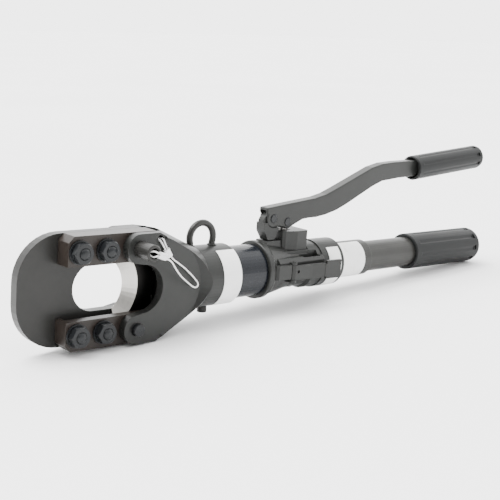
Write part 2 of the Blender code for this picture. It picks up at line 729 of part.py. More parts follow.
def build_reservoir():
    shell_profile = [
        (23.0, BODY_END_X + GAP),
        (RESERVOIR_R, BODY_END_X + GAP),
        (RESERVOIR_R, RESERVOIR_END_X - 1.5),
        (RESERVOIR_R - 1.5, RESERVOIR_END_X),
        (TUBE_R + GAP, RESERVOIR_END_X),
        (TUBE_R + GAP, 364.0),
        (23.0, 364.0),
    ]
    shell = turned("reservoir_shell", shell_profile, steps=48)
    collar = sleeve(
        "reservoir_collar", TUBE_R + GAP, COLLAR_R, RESERVOIR_END_X + GAP, COLLAR_END_X, steps=40, chamfer=0.6
    )
    tube = sleeve("fixed_handle_tube", TUBE_R - TUBE_WALL, TUBE_R, 354.0, TUBE_END_X, steps=40)
    bag_r = TUBE_R - TUBE_WALL - 1.0
    bag = [(0, 356.0)] + [(bag_r * math.sin(a), 362.0 - 6.0 * math.cos(a)) for a in (0.5, 1.0, 1.5708)]
    bag += [(bag_r * math.sin(a), 560.0 + 6.0 * math.cos(a)) for a in (1.5708, 1.0, 0.5)] + [(0, 566.0)]
    bladder = turned("reservoir_bladder", bag, steps=20)
    return [shell, collar, tube, bladder]


def build_fixed_grip():
    """A rubber sleeve with a closed, rounded end."""
    inner = TUBE_R + GAP
    rounding = [(GRIP_R - 6.0 + z, GRIP_END_X - 6.0 + x) for x, z in arc(0, 0, 6.0, 90, 0, 3)]
    profile = [(0, TUBE_END_X + 2.0), (inner, TUBE_END_X + 2.0), (inner, GRIP_START_X), (GRIP_R - 1.0, GRIP_START_X)]
    profile += [(GRIP_R, GRIP_START_X + 1.0)] + rounding + [(0, GRIP_END_X)]
    grip = turned("fixed_grip", profile, steps=40)
    return cut(grip, *grip_hollows(GRIP_R, 9, GRIP_START_X + 9.0, GRIP_END_X - 15.0, 0.8, 3.0))


def build_label(name, radius, low, high, start, end):
    """A thin film wrapped on the near side of a round body, between two angles above its middle."""
    near = [math.radians(180 + a) for a in (start, end)]
    angles = [near[0] + (near[1] - near[0]) * i / 14 for i in range(15)]
    inner = [(radius * math.cos(a), -radius * math.sin(a)) for a in angles]
    outer = [((radius + 0.35) * math.cos(a), -(radius + 0.35) * math.sin(a)) for a in angles]
    return extruded(name, inner + outer[::-1], low, high, "YZ")


# Pump handle and its linkage


def build_link():
    """Stands on the pump body's tongue with a forked foot, and its head is inside the pump handle."""
    head = [(266.9, 41.4), (267.2, 50.6), (268.9, 53.2)] + arc(LINK_X, HANDLE_PIVOT_Z, 9.0, 155, 20, 10)
    head += [(288.4, 50.0), (287.0, 41.4)]
    link = extruded("handle_link", head, -LINK_HALF, LINK_HALF)
    foot = [(266.9, 41.4), (267.0, 47.8)] + arc(LINK_X, HANDLE_PIVOT_Z, 9.6, 204.6, 270, 8)
    foot += [(286.9, 42.2), (286.9, 38.5)] + arc(LINK_X, LINK_PIVOT_Z, 5.0, 0, -90, 6)
    foot += [(272.8, 30.0), (271.0, 33.5), (267.4, 38.8)]
    join(link, extruded("foot", foot, -HANDLE_HALF, HANDLE_HALF))
    cutters = [
        extruded("fork", [(273.4, 40.1), (300.0, 40.1), (300.0, 20.0), (273.4, 20.0)], -3.1, 3.1),
        rod("hole", HANDLE_PIN_R + GAP, -9, 9, "Y", (LINK_X, 0, HANDLE_PIVOT_Z), 24),
        rod("hole", LINK_PIN_R + GAP, -5.2, 9, "Y", (LINK_X, 0, LINK_PIVOT_Z), 20),
    ]
    return cut(link, *cutters)


def build_pump_handle():
    """An inverted channel that is solid towards its rear, with a round neck inside the grip."""
    top = [(269.4, 63.0), (338.3, 70.5), (354.3, 74.0), (371.0, 80.2), (424.0, 101.0)]
    top += [(441.5, 105.0), (462.0, 106.6), (484.0, 107.4), (HANDLE_END_X, 108.2)]
    bottom = [(HANDLE_END_X, 90.3), (487.0, 89.2), (470.0, 88.4), (441.9, 85.5), (425.0, 79.5), (386.0, 61.8)]
    bottom += [(370.9, 56.0), (355.0, 52.0), (340.8, 50.0), (330.0, 49.8), (320.5, 48.8), (312.0, 45.4)]
    lobe = arc(PLUNGER_X, PLUNGER_PIN_Z, 7.2, -50, -130, 6)
    corner = arc(LINK_X, HANDLE_PIVOT_Z, 9.2, -60, -208, 12)
    outline = top + bottom + lobe + corner + [(269.4, 57.6)]
    handle = chamfer_edges(extruded("pump_handle", outline, -HANDLE_HALF, HANDLE_HALF), HANDLE_ROUNDING, 40, 2)
    inner = HANDLE_HALF - HANDLE_WALL
    ceiling = [(x, z - HANDLE_WEB) for x, z in top[:6]]
    hollow = [(255.0, ceiling[0][1] - 1.5)] + ceiling + [(446.0, 84.0), (446.0, 20.0), (255.0, 20.0)]
    channel = extruded("channel", hollow, -inner, inner)
    holes = [
        rod("hole", HANDLE_PIN_R + GAP, -9, 9, "Y", (LINK_X, 0, HANDLE_PIVOT_Z), 24),
        rod("hole", HANDLE_PIN_R + GAP, -9, 9, "Y", (PLUNGER_X, 0, PLUNGER_PIN_Z), 24),
    ]
    cut(handle, channel, *holes)
    neck = rod("neck", NECK_R, 5.0, NECK_LENGTH, "X", (0, 0, 0), 32, 1.0)
    neck.data.transform(grip_frame())
    return join(handle, neck)


def grip_frame():
    """Where the pump grip's open end is, and which way the grip points."""
    x, z = PUMP_GRIP_START
    return Matrix.Translation((x, 0, z)) @ Matrix.Rotation(-PUMP_GRIP_SLOPE, 4, "Y")


def build_pump_grip():
    inner = NECK_R + GAP
    length = PUMP_GRIP_LENGTH
    end = [(PUMP_GRIP_R - 4.5 + z, length - 4.5 + x) for x, z in arc(0, 0, 4.5, 90, 0, 3)]
    profile = [(0, NECK_LENGTH + 1.0), (inner, NECK_LENGTH + 1.0), (inner, 9.5), (PUMP_MOUTH_R, 9.5)]
    profile += [(PUMP_MOUTH_R, 0), (PUMP_GRIP_R - 1.0, 0), (PUMP_GRIP_R, 1.0)] + end + [(0, length)]
    grip = turned("pump_grip", profile, steps=40)
    cut(grip, *grip_hollows(PUMP_GRIP_R, 8, 8.0, length - 13.0, 0.55, 2.2))
    grip.data.transform(grip_frame())
    return grip


def grip_hollows(radius, count, start, end, depth, notch_r):
    """Shallow flutes along a grip, each with a small deep notch behind it."""
    hollows = []
    flute_r = radius * 0.4
    for i in range(count):
        angle = 2 * math.pi * (i + 0.5) / count
        flute_at = radius + flute_r - depth
        spot = (0, flute_at * math.cos(angle), flute_at * math.sin(angle))
        hollows.append(rod("flute", flute_r, start, end, "X", spot, 16))
        spot = (0, radius * math.cos(angle), radius * math.sin(angle))
        hollows.append(rod("notch", notch_r, end + 1.0, end + 5.0, "X", spot, 8))
    return hollows


def build_plunger():
    stem = rod("pump_plunger", PLUNGER_R, -3.0, 44.0, "Z", (PLUNGER_X, 0, 0), 24, 0.4)
    half = HANDLE_PIN_R + GAP + EYE_SLACK_X + 2.0
    eye_z = PLUNGER_PIN_Z + EYE_SLACK_Z
    head = extruded("head", [
        (PLUNGER_X - 3.6, 40.5), (PLUNGER_X + 3.6, 40.5), (PLUNGER_X + half, 44.5), (PLUNGER_X + half, 51.5),
        (PLUNGER_X + half - 2.5, 55.0), (PLUNGER_X - half + 2.5, 55.0), (PLUNGER_X - half, 51.5),
        (PLUNGER_X - half, 44.5)], -3.9, 3.9)
    join(stem, head)
    eye = rod("eye", 1.0, -9, 9, "Y", (0, 0, 0), 28)
    wide = HANDLE_PIN_R + GAP + EYE_SLACK_X
    tall = HANDLE_PIN_R + GAP + EYE_SLACK_Z
    eye.data.transform(Matrix.Translation((PLUNGER_X, 0, eye_z)) @ Matrix.Diagonal((wide, 1, tall, 1)))
    return cut(stem, eye)


def build_release_lever():
    """A flat lever beside the pump body, whose rear end is a thumb plate."""
    outer = [(285.8, -31.9), (289.0, -33.2), (312.0, -34.4), (331.0, -36.4)]
    inner = [(330.5, -33.6), (312.0, -31.8), (293.0, -30.9), (292.6, -28.6), (290.6, -26.8), (287.6, -26.8)]
    inner += [(285.8, -28.4)]
    strip = extruded("release_lever", outer + inner, -7.0, 8.0, "XY")
    paddle = extruded("paddle", [(329.0, -36.6), (350.5, -38.0), (350.5, -35.2), (329.0, -33.8)], -8.5, 10.5, "XY")
    join(strip, paddle)
    notches = [block("notch", (327.5, 330.8), (-45, -25), z) for z in ((7.0, 20.0), (-20.0, -6.2))]
    notches.append(rod("hole", 1.5 + GAP, -20, 20, "Z", (LEVER_X, LEVER_Y, 0), 16))
    notches.append(rod("screw_hole", 1.7, -40, -20, "Y", (293.0, 0, 1.5), 12))
    return cut(strip, *notches)


def build_release_valve():
    profile = [(0, -31.2), (4.0, -31.2), (4.0, -29.4), (SPINDLE_R, -29.4), (SPINDLE_R, -15.5), (0, -14.0)]
    spindle = turned("release_spindle", profile, "Y", (SPINDLE_X, 0, 1.5), 20)
    coil = helix(3.7, -28.6, -21.8, 4, 10, "Y", (SPINDLE_X, 0, 1.5))
    spring = wire("release_spring", coil, 0.5)
    pin = rod("lever_pin", 1.5, -9.6, 10.6, "Z", (LEVER_X, LEVER_Y, 0), 16, 0.3)
    return spindle, spring, pin


# Assembly


def make_materials():
    made = {}
    for name, (colour, metallic, roughness) in MATERIALS.items():
        material = bpy.data.materials.new(name)
        material.use_nodes = True
        surface = material.node_tree.nodes["Principled BSDF"]
        surface.inputs["Base Color"].default_value = colour
        surface.inputs["Metallic"].default_value = metallic
        surface.inputs["Roughness"].default_value = roughness
        made[name] = material
    return made


def body_empty(name, pivot, frame, collection):
    """An empty on a body's joint axis, under the frame empty."""
    empty = bpy.data.objects.new(name, None)
    empty.location = Vector(pivot) * MM
    empty.parent = frame
    collection.objects.link(empty)
    return empty


def put(pieces, empty, pivot, material, collection):
    """Gives the pieces their size in metres, their material and their place under a body's empty."""
    for piece in pieces:
        mesh = piece.data
        mesh.transform(Matrix.Scale(MM, 4) @ Matrix.Translation(-Vector(pivot)))
        mesh.name = piece.name
        mesh.materials.clear()
        mesh.materials.append(material)
        mesh.shade_smooth()
        mesh.set_sharp_from_angle(angle=math.radians(32))
        bpy.context.scene.collection.objects.unlink(piece)
        collection.objects.link(piece)
        piece.parent = empty


def main():
    for thing in list(bpy.data.objects):
        bpy.data.objects.remove(thing)
    collection = bpy.data.collections.new("rescue_cutter")
    bpy.context.scene.collection.children.link(collection)
    frame = bpy.data.objects.new("cutter_frame", None)
    frame.location = Vector(FRAME_SHIFT) * MM
    collection.objects.link(frame)
    materials = make_materials()

    head_label = build_label("head_label", HEAD_R + GAP, 198.0, 220.0, -62, 62)
    reservoir_label = build_label("reservoir_label", RESERVOIR_R + GAP, 347.0, 364.5, -60, 48)
    collar_label = build_label("collar_label", COLLAR_R + GAP, 374.0, 409.0, -62, 75)
    spindle, spindle_spring, lever_pin = build_release_valve()
    pump_internals = build_pump_internals()
    ram_pieces = build_ram()
    cylinder_pieces = build_cylinder()
    reservoir_pieces = build_reservoir()
    ear_crimp = build_crimp("lanyard_crimp_1", (133.3, -24.6, 31.8), (-4.9, 0, 7.8))
    pin_crimp = build_crimp("lanyard_crimp_2", (112.2, -44.6, 34.45), (7.4, -0.35, -2.6))
    lanyard = wire("lanyard", rounded_route(LANYARD_ROUTE, 1), WIRE_R)
    link_pin = (LINK_X, 0, HANDLE_PIVOT_Z)
    plunger_pin = (PLUNGER_X, 0, PLUNGER_PIN_Z)
    contents = {
        "root": {
            "pivot": (0, 0, 0),
            "guide_steel": [
                build_guide_bar("guide_bar_upper", 1, LOCK_PIN_R),
                build_guide_bar("guide_bar_lower", -1, HINGE_PIN_R),
            ],
            "black_oxide": [build_yoke_plate(), build_stop_screw(), build_lifting_eye(), pump_internals[0]],
            "fastener_steel": build_fasteners() + build_hinge_pin() + pump_internals[1:] + [lever_pin],
            "dark_casting": [build_fork_head(), build_pump_body(), reservoir_pieces[0]],
            "navy_paint": [cylinder_pieces[0]],
            "gland_bronze": [cylinder_pieces[1]],
            "tube_paint": reservoir_pieces[1:3],
            "seal_rubber": [reservoir_pieces[3]],
            "grip_rubber": [build_fixed_grip()],
            "label_film": [head_label, reservoir_label, collar_label],
            "wire_rope": [lanyard, ear_crimp],
            "bright_steel": [build_return_spring(), spindle_spring],
        },
        "ram": {
            "pivot": (ROD_START_X, 0, 0),
            "bright_steel": [ram_pieces[0], ram_pieces[2]],
            "seal_rubber": [ram_pieces[1]],
            "blade_steel": [build_blade()],
        },
        "lock_pin": {
            "pivot": (PIN_X, EAR_FRONT_Y, PIN_Z),
            "black_oxide": [build_lock_pin()],
            "wire_rope": [pin_crimp],
        },
        "link": {
            "pivot": (LINK_X, 0, LINK_PIVOT_Z),
            "dark_casting": [build_link()],
            "fastener_steel": [rod("handle_pin", HANDLE_PIN_R, -6.6, 6.6, "Y", link_pin, 24, 0.4)],
        },
        "handle": {
            "pivot": link_pin,
            "dark_casting": [build_pump_handle()],
            "fastener_steel": [rod("plunger_pin", HANDLE_PIN_R, -6.6, 6.6, "Y", plunger_pin, 24, 0.4)],
            "grip_rubber": [build_pump_grip()],
        },
        "plunger": {
            "pivot": (PLUNGER_X, 0, 0),
            "bright_steel": [build_plunger()],
        },
        "release_lever": {
            "pivot": (LEVER_X, LEVER_Y, 0),
            "dark_casting": [build_release_lever()],
        },
        "release_valve": {
            "pivot": (SPINDLE_X, 0, 1.5),
            "bright_steel": [spindle],
        },
    }
    for name, groups in contents.items():
        pivot = groups.pop("pivot")
        empty = body_empty(name + "_joint", pivot, frame, collection)
        for material, pieces in groups.items():
            put(pieces, empty, pivot, materials[material], collection)


main()
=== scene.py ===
"""Looks for the rescue cutter: its finishes, its finer pieces, the floor, the light and the camera."""

import json
import math

import bmesh
import bpy
from mathutils import Matrix, Vector


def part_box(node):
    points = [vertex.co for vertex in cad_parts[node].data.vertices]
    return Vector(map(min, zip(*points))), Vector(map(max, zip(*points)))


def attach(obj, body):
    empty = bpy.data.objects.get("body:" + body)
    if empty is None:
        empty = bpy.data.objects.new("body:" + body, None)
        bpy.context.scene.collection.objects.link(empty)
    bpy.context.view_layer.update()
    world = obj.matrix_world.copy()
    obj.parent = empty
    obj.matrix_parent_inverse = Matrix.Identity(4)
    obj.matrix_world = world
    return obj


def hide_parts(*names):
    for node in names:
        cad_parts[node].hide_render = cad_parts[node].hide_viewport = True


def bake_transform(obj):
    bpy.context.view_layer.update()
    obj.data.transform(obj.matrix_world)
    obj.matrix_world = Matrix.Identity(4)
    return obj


MM = 0.001

# The cutter's own millimetres are the CAD's: x from the yoke's tip, y and z from the ram's axis.
BAR_START_X = 37.5
HEAD_R = 29.65
EYE_FOOT = 13.4
WELD_R = 3.7
WELD_BEAD_R = 1.0
WELD_RISE = 0.2
CLIP_Y = -6.35
CLIP_WIRE_R = 0.5
CLIP_START = 55
CLIP_SWEEP = 250
# The ram's front, up to this x, is darkened as painted shade inside the fork's mouth.
SHADED_RAM_END_X = 156.0
TOWER_PLAN = ((290.3, 8.7), (292.9, 11.3), (306.5, 14.3), (320.5, 14.3), (323.0, 11.8))
TOWER_Z = (12.0, 38.8)
GLAND_HOLE = (299.2, 7.0)
FLOOR_FRONT = (127.0, 0, -50.5)
FLOOR_REAR = (621.0, 0, -21.0)
FLOOR_DROP = 0.4
WIRE_DIAMETER = 1.5 * MM

# Looks and light
GRAIN_SCALE = 900.0
# A pale metal colour put on the edges: partly rubbed wear, partly painted edge highlight.
EDGE_WEAR_AND_HIGHLIGHT = (0.16, 0.155, 0.145, 1)
BACKDROP = (0.6, 0.65, 0.47)
DIM_SIDE = 0.4
BRIGHT_SIDE = 4.2
OVERHEAD = (-0.35, 0.3, 1.0)
OVERHEAD_STRENGTH = 6.0
OVERHEAD_SPREAD = math.radians(40)

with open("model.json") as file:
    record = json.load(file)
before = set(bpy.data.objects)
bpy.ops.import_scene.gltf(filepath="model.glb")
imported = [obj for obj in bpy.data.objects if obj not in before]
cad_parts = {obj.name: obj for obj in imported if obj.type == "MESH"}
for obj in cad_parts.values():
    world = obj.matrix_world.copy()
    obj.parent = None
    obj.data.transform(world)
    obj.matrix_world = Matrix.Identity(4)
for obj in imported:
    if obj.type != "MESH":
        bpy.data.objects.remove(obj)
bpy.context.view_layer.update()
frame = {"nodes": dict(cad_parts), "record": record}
nodes = frame["nodes"]

START_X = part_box("guide_bar_upper")[0].x - BAR_START_X * MM
BARREL_LOW, BARREL_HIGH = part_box("cylinder_barrel")
AXIS_Y = (BARREL_LOW.y + BARREL_HIGH.y) / 2
AXIS_Z = (BARREL_LOW.z + BARREL_HIGH.z) / 2


def place(x, y, z):
    """A point of the cutter in the row's frame, in metres."""
    return Vector((START_X + x * MM, AXIS_Y + y * MM, AXIS_Z + z * MM))


# Camera

CAMERA_AT = (-377.55, -685.86, 202.03)
CAMERA_AZIMUTH = math.radians(-42.69)
CAMERA_ELEVATION = math.radians(11.02)
CAMERA_ROLL = math.radians(4.25)
CAMERA_LENS = 68.4


def make_camera():
    azimuth, elevation, roll = CAMERA_AZIMUTH, CAMERA_ELEVATION, CAMERA_ROLL
    flat = math.cos(elevation)
    back = Vector((math.sin(azimuth) * flat, -math.cos(azimuth) * flat, math.sin(elevation)))
    level = Vector((math.cos(azimuth), math.sin(azimuth), 0))
    upright = back.cross(level)
    right = level * math.cos(roll) + upright * math.sin(roll)
    up = back.cross(right)
    data = bpy.data.cameras.new("camera")
    data.lens = CAMERA_LENS
    data.sensor_width = 36
    data.clip_start = 0.01
    camera = bpy.data.objects.new("camera", data)
    bpy.context.scene.collection.objects.link(camera)
    turn = Matrix((right, up, back)).transposed().to_4x4()
    camera.matrix_world = Matrix.Translation(place(*CAMERA_AT)) @ turn
    bpy.context.scene.camera = camera


make_camera()


# The lanyard, which is one wire from the lock pin's socket to the hole in the fork's ear

LANYARD_ROUTE = (
    (115.9, -44.7, 34.3),
    (108.6, -44.4, 36.8),
    (106.9, -43.6, 38.0),
    (105.0, -41.6, 38.7),
    (103.6, -39.4, 38.3),
    (102.7, -38.0, 37.1),
    (102.7, -37.9, 35.6),
    (103.6, -39.2, 34.2),
    (104.8, -41.2, 33.6),
    (105.9, -43.2, 34.2),
    (107.4, -44.3, 34.8),
    (109.1, -44.5, 34.5),
    (116.0, -44.8, 32.0),
    (120.8, -43.5, 30.0),
    (125.2, -41.5, 27.4),
    (130.0, -39.0, 22.8),
    (136.1, -36.2, 16.7),
    (143.2, -33.5, 10.7),
    (150.7, -31.0, 5.5),
    (157.2, -29.0, 1.2),
    (161.6, -27.5, -1.5),
    (165.0, -26.6, -3.0),
    (167.9, -26.2, -2.7),
    (169.3, -25.9, -0.9),
    (168.5, -25.6, 1.7),
    (165.4, -25.2, 5.2),
    (161.5, -25.0, 9.0),
    (153.8, -24.7, 15.7),
    (144.8, -24.6, 21.9),
    (139.4, -24.6, 25.3),
    (136.7, -24.6, 28.3),
    (131.8, -24.6, 36.1),
    (128.9, -24.7, 41.4),
    (128.1, -24.1, 43.9),
    (128.0, -21.5, 44.8),
    (128.0, -18.4, 44.8),
    (127.6, -17.0, 44.8),
    (126.7, -16.1, 44.8),
    (125.3, -16.1, 44.8),
    (124.4, -17.0, 44.8),
    (124.0, -18.4, 44.8),
    (124.0, -21.5, 44.6),
    (124.3, -24.1, 43.4),
    (126.0, -24.8, 41.0),
    (130.1, -24.6, 35.0),
    (134.6, -24.6, 27.8),
)


def rounded_route(points, rounds):
    """Corner-cuts a line of points that many times, with the ends kept."""
    line = [Vector(p) for p in points]
    for _ in range(rounds):
        smoother = [line[0]]
        for first, second in zip(line, line[1:]):
            smoother += [first.lerp(second, 0.25), first.lerp(second, 0.75)]
        line = smoother + [line[-1]]
    return line


def make_lanyard():
    path = rounded_route([place(*spot) for spot in LANYARD_ROUTE], 2)
    curve = bpy.data.curves.new("lanyard_line", "CURVE")
    curve.dimensions = "3D"
    curve.bevel_depth = WIRE_DIAMETER / 2
    curve.bevel_resolution = 3
    curve.use_fill_caps = True
    line = curve.splines.new("POLY")
    line.points.add(len(path) - 1)
    for spot, point in zip(line.points, path):
        spot.co = (*point, 1)
    guide = bpy.data.objects.new("lanyard_line", curve)
    bpy.context.scene.collection.objects.link(guide)
    bpy.context.view_layer.update()
    mesh = bpy.data.meshes.new_from_object(guide.evaluated_get(bpy.context.evaluated_depsgraph_get()))
    bpy.data.objects.remove(guide)
    for face in mesh.polygons:
        face.use_smooth = True
    wire = bpy.data.objects.new("lanyard_wire", mesh)
    bpy.context.scene.collection.objects.link(wire)
    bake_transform(wire)
    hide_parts("lanyard")
    return wire


# Shader nodes


def shader(name):
    """A new material, its Principled shader, and a function that adds a node to it."""
    material = bpy.data.materials.new(name)
    material.use_nodes = True
    tree = material.node_tree

    def add(kind, **values):
        node = tree.nodes.new("ShaderNode" + kind)
        for key, value in values.items():
            if key in node.inputs:
                node.inputs[key].default_value = value
            else:
                setattr(node, key, value)
        return node

    return material, tree.nodes["Principled BSDF"], add, tree.links.new


def colour_ramp(add, link, source, stops):
    ramp = add("ValToRGB")
    ramp.color_ramp.elements[0].position = stops[0][0]
    ramp.color_ramp.elements[0].color = stops[0][1]
    ramp.color_ramp.elements[1].position = stops[-1][0]
    ramp.color_ramp.elements[1].color = stops[-1][1]
    for position, colour in stops[1:-1]:
        ramp.color_ramp.elements.new(position).color = colour
    link(source, ramp.inputs["Fac"])
    return ramp.outputs["Color"]


def grey(value):
    return (value, value, value, 1)


def coated_metal(
    name,
    colour,
    roughness,
    grain=0.12,
    edge_wear_and_highlight=0.5,
    edge_radius=0.7,
    mottle=0.18,
    coat=0.0,
    specular=0.23,
    streaks=0.0,
):
    """Painted or blackened steel: a mottled colour, a fine grain, and corners that are rounded, with a paler
    colour in chips along them that is partly rubbed wear and partly painted highlight.
    """
    material, surface, add, link = shader(name)
    position = add("TexCoord").outputs["Object"]

    large = add("TexNoise", Scale=38.0, Detail=5.0, Roughness=0.6)
    link(position, large.inputs["Vector"])
    dark = tuple(c * (1 - mottle) for c in colour[:3]) + (1,)
    light = tuple(min(1, c * (1 + mottle)) for c in colour[:3]) + (1,)
    base = colour_ramp(add, link, large.outputs["Fac"], [(0.3, dark), (0.7, light)])

    rounded = add("Bevel", Radius=edge_radius * MM)
    rounded.samples = 4
    geometry = add("NewGeometry")
    facing = add("VectorMath", operation="DOT_PRODUCT")
    link(rounded.outputs["Normal"], facing.inputs[0])
    link(geometry.outputs["Normal"], facing.inputs[1])
    edge = add("MapRange")
    edge.inputs["From Min"].default_value = 0.985
    edge.inputs["From Max"].default_value = 0.8
    link(facing.outputs["Value"], edge.inputs["Value"])
    chips = add("TexNoise", Scale=420.0, Detail=4.0, Roughness=0.7)
    link(position, chips.inputs["Vector"])
    chip_mask = add("MapRange")
    chip_mask.inputs["From Min"].default_value = 0.42
    chip_mask.inputs["From Max"].default_value = 0.62
    chip_mask.inputs["To Max"].default_value = edge_wear_and_highlight
    link(chips.outputs["Fac"], chip_mask.inputs["Value"])
    worn_and_highlit = add("Math", operation="MULTIPLY")
    link(edge.outputs["Result"], worn_and_highlit.inputs[0])
    link(chip_mask.outputs["Result"], worn_and_highlit.inputs[1])

    # Edges paler in noisy chips: partly rubbed wear, partly painted highlight along the corners.
    mix = add("Mix", data_type="RGBA")
    link(worn_and_highlit.outputs["Value"], mix.inputs["Factor"])
    link(base, mix.inputs["A"])
    mix.inputs["B"].default_value = EDGE_WEAR_AND_HIGHLIGHT
    link(mix.outputs["Result"], surface.inputs["Base Color"])

    fine = add("TexNoise", Scale=GRAIN_SCALE, Detail=3.0, Roughness=0.6)
    link(position, fine.inputs["Vector"])
    grain_source = fine.outputs["Fac"]
    if streaks:
        stretch = add("Mapping")
        stretch.inputs["Scale"].default_value = (1.0, 14.0, 14.0)
        link(position, stretch.inputs["Vector"])
        lines = add("TexNoise", Scale=160.0, Detail=3.0, Roughness=0.6)
        link(stretch.outputs["Vector"], lines.inputs["Vector"])
        blend = add("Mix", data_type="FLOAT")
        blend.inputs["Factor"].default_value = streaks
        link(fine.outputs["Fac"], blend.inputs["A"])
        link(lines.outputs["Fac"], blend.inputs["B"])
        grain_source = blend.outputs["Result"]
    rough = add("MapRange")
    rough.inputs["To Min"].default_value = max(0.05, roughness - 0.1)
    rough.inputs["To Max"].default_value = min(1.0, roughness + 0.1)
    link(grain_source, rough.inputs["Value"])
    link(rough.outputs["Result"], surface.inputs["Roughness"])
    bump = add("Bump", Strength=grain, Distance=0.1 * MM)
    link(grain_source, bump.inputs["Height"])
    link(rounded.outputs["Normal"], bump.inputs["Normal"])
    link(bump.outputs["Normal"], surface.inputs["Normal"])
    surface.inputs["Specular IOR Level"].default_value = specular
    surface.inputs["Coat Weight"].default_value = coat
    surface.inputs["Coat Roughness"].default_value = 0.25
    return material


def ground_steel(name, colour, roughness, stretch, blued_and_shaded=None, radius=0.4):
    """Bare steel with the fine parallel marks of grinding, darkened where a given mask says so: blackened on
    the blade's sides outside its ground face, and painted shade on the ram's front.
    """
    material, surface, add, link = shader(name)
    position = add("TexCoord").outputs["Object"]
    mapping = add("Mapping")
    mapping.inputs["Scale"].default_value = stretch
    link(position, mapping.inputs["Vector"])
    lines = add("TexNoise", Scale=90.0, Detail=5.0, Roughness=0.65)
    link(mapping.outputs["Vector"], lines.inputs["Vector"])
    dark = tuple(c * 0.86 for c in colour[:3]) + (1,)
    base = colour_ramp(add, link, lines.outputs["Fac"], [(0.3, dark), (0.7, colour)])
    rough = add("MapRange")
    rough.inputs["To Min"].default_value = roughness - 0.08
    rough.inputs["To Max"].default_value = roughness + 0.12
    link(lines.outputs["Fac"], rough.inputs["Value"])
    rounded = add("Bevel", Radius=radius * MM)
    rounded.samples = 4
    bump = add("Bump", Strength=0.15, Distance=0.05 * MM)
    link(lines.outputs["Fac"], bump.inputs["Height"])
    link(rounded.outputs["Normal"], bump.inputs["Normal"])
    link(bump.outputs["Normal"], surface.inputs["Normal"])
    link(rough.outputs["Result"], surface.inputs["Roughness"])
    surface.inputs["Metallic"].default_value = 1.0
    if blued_and_shaded is None:
        link(base, surface.inputs["Base Color"])
        return material
    mix = add("Mix", data_type="RGBA")
    link(blued_and_shaded(add, link, position), mix.inputs["Factor"])
    link(base, mix.inputs["A"])
    # The dark colour: real blackening on the blade's sides, painted shade on the ram's front.
    mix.inputs["B"].default_value = (0.012, 0.0115, 0.011, 1)
    link(mix.outputs["Result"], surface.inputs["Base Color"])
    return material


def rubber(name, colour, roughness):
    """Moulded rubber: a pebbled skin with a soft sheen and paler rubbed patches."""
    material, surface, add, link = shader(name)
    position = add("TexCoord").outputs["Object"]
    patches = add("TexNoise", Scale=26.0, Detail=6.0, Roughness=0.65)
    link(position, patches.inputs["Vector"])
    dark = tuple(c * 0.82 for c in colour[:3]) + (1,)
    light = tuple(c * 1.22 for c in colour[:3]) + (1,)
    base = colour_ramp(add, link, patches.outputs["Fac"], [(0.3, dark), (0.72, light)])
    link(base, surface.inputs["Base Color"])
    pebbles = add("TexVoronoi", Scale=1100.0)
    link(position, pebbles.inputs["Vector"])
    rounded = add("Bevel", Radius=0.8 * MM)
    rounded.samples = 4
    bump = add("Bump", Strength=0.35, Distance=0.12 * MM)
    link(pebbles.outputs["Distance"], bump.inputs["Height"])
    link(rounded.outputs["Normal"], bump.inputs["Normal"])
    link(bump.outputs["Normal"], surface.inputs["Normal"])
    rough = add("MapRange")
    rough.inputs["To Min"].default_value = roughness - 0.08
    rough.inputs["To Max"].default_value = roughness + 0.1
    link(patches.outputs["Fac"], rough.inputs["Value"])
    link(rough.outputs["Result"], surface.inputs["Roughness"])
    surface.inputs["Specular IOR Level"].default_value = 0.16
    return material


def label_film(name):
    """White printed film with a faint crinkle and slightly soiled corners."""
    material, surface, add, link = shader(name)
    position = add("TexCoord").outputs["Object"]
    soil = add("TexNoise", Scale=120.0, Detail=6.0, Roughness=0.7)
    link(position, soil.inputs["Vector"])
    stops = [(0.25, (0.62, 0.61, 0.58, 1)), (0.42, (0.86, 0.86, 0.85, 1)), (0.8, (0.93, 0.93, 0.92, 1))]
    link(colour_ramp(add, link, soil.outputs["Fac"], stops), surface.inputs["Base Color"])
    bump = add("Bump", Strength=0.12, Distance=0.1 * MM)
    link(soil.outputs["Fac"], bump.inputs["Height"])
    link(bump.outputs["Normal"], surface.inputs["Normal"])
    surface.inputs["Roughness"].default_value = 0.45
    return material


def wire_sheath(name):
    """Stranded wire seen through a clear sheath: slanting strands, with painted shade in the grooves between
    them.
    """
    material, surface, add, link = shader(name)
    position = add("TexCoord").outputs["Object"]
    strands = add("TexWave", Scale=900.0, Distortion=1.5, Detail=2.0)
    strands.bands_direction = "DIAGONAL"
    link(position, strands.inputs["Vector"])
    # The dark troughs between the bands are painted shade in the grooves between the strands.
    stops = [(0.0, (0.5, 0.49, 0.47, 1)), (0.5, (0.86, 0.86, 0.85, 1)), (1.0, (0.95, 0.95, 0.95, 1))]
    link(colour_ramp(add, link, strands.outputs["Fac"], stops), surface.inputs["Base Color"])
    bump = add("Bump", Strength=0.4, Distance=0.15 * MM)
    link(strands.outputs["Fac"], bump.inputs["Height"])
    link(bump.outputs["Normal"], surface.inputs["Normal"])
    surface.inputs["Roughness"].default_value = 0.35
    surface.inputs["Metallic"].default_value = 0.15
    surface.inputs["Coat Weight"].default_value = 0.5
    return material


def flat_side(add, link, position):
    """1 on the blade's blackened sides, and 0 on its ground bevel, which slants away from them."""
    separate = add("SeparateXYZ")
    geometry = add("NewGeometry")
    link(geometry.outputs["True Normal"], separate.inputs["Vector"])
    facing = add("Math", operation="ABSOLUTE")
    link(separate.outputs["Y"], facing.inputs[0])
    flat = add("Math", operation="GREATER_THAN")
    flat.inputs[1].default_value = 0.97
    link(facing.outputs["Value"], flat.inputs[0])
    return flat.outputs["Value"]


